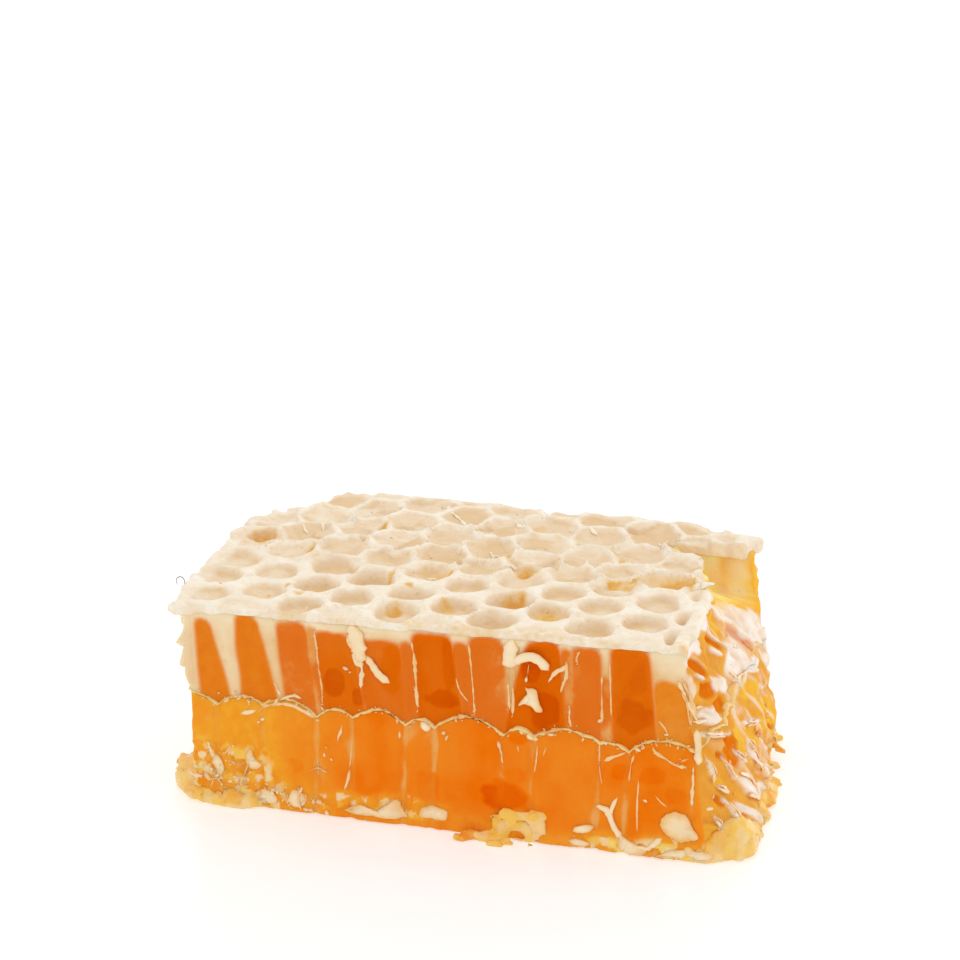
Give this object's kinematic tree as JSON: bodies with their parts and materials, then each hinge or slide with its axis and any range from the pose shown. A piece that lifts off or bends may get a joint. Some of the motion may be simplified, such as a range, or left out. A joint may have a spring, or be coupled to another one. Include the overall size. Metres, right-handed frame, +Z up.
{
  "type": "honeycomb piece",
  "caption": "Block cut from sealed honeycomb, lying flat: dimpled cream wax on top, honey-filled cells on both sides of a wavy wax midrib, and a crushed foot.",
  "frame": {"origin": "under the middle of the block's outline, on the surface it rests on", "axes": "+X along the long front cut towards the torn end, +Y from the front cut to the back cut, +Z up"},
  "size_m": [0.0618, 0.0388, 0.0213],
  "materials": {
    "crushed_wax_and_honey": "crushed yellow wax soaked with honey, uneven and sticky, glossy where wet",
    "lower_honey": "clear amber to orange honey in wax cells, smooth and wet",
    "midrib_wax": "thin pale yellow beeswax with a torn edge, soaked with honey",
    "upper_honey": "clear deep orange honey behind thin wax walls, smooth and wet",
    "cream_wax": "thick cream beeswax, softly dimpled, satin and slightly translucent"
  },
  "bodies": {
    "root": {"foot_crushed": "crushed_wax_and_honey", "lower_cells": "lower_honey", "midrib_wax": "midrib_wax", "upper_cells": "upper_honey", "cappings_wax": "cream_wax"}
  },
  "joints": []
}
